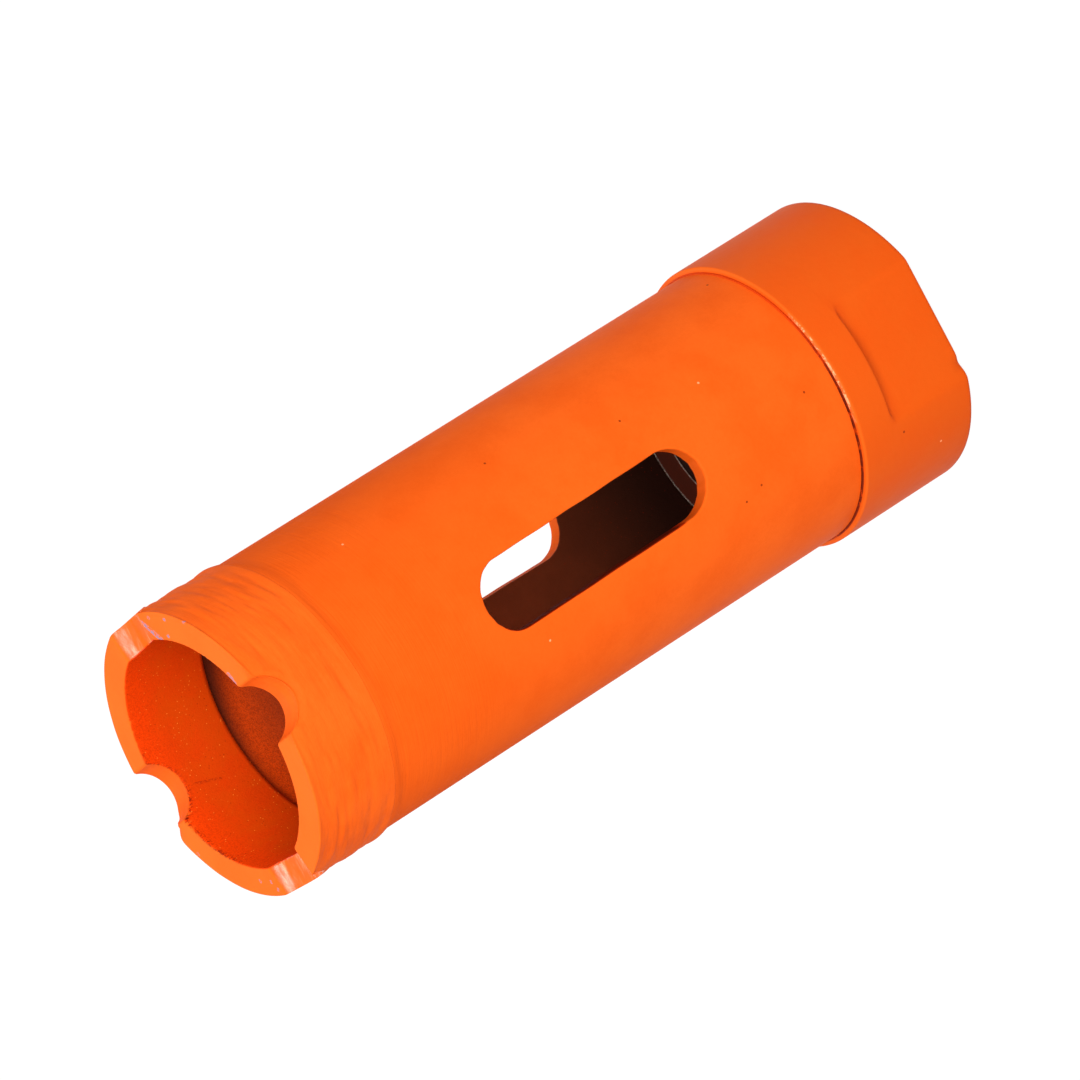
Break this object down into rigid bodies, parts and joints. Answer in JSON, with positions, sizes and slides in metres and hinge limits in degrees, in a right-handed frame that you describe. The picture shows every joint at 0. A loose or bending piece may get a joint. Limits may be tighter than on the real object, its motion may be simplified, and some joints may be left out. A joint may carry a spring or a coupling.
{
  "type": "diamond core bit",
  "caption": "Slotted steel barrel with a notched sintered diamond crown and a threaded hub with spanner flats, painted orange, for dry core drilling.",
  "frame": {"origin": "middle of the hub's end face, on the bit's axis", "axes": "+Z along the axis from the hub to the cutting face; the slots and the spanner flats face -Y and +Y"},
  "size_m": [0.0254, 0.0254, 0.0714],
  "materials": {
    "hub_paint": "satin",
    "tube_paint": "satin",
    "crown_paint": "satin"
  },
  "bodies": {
    "root": {"hub": "hub_paint", "tube": "tube_paint", "crown": "crown_paint"}
  },
  "joints": []
}
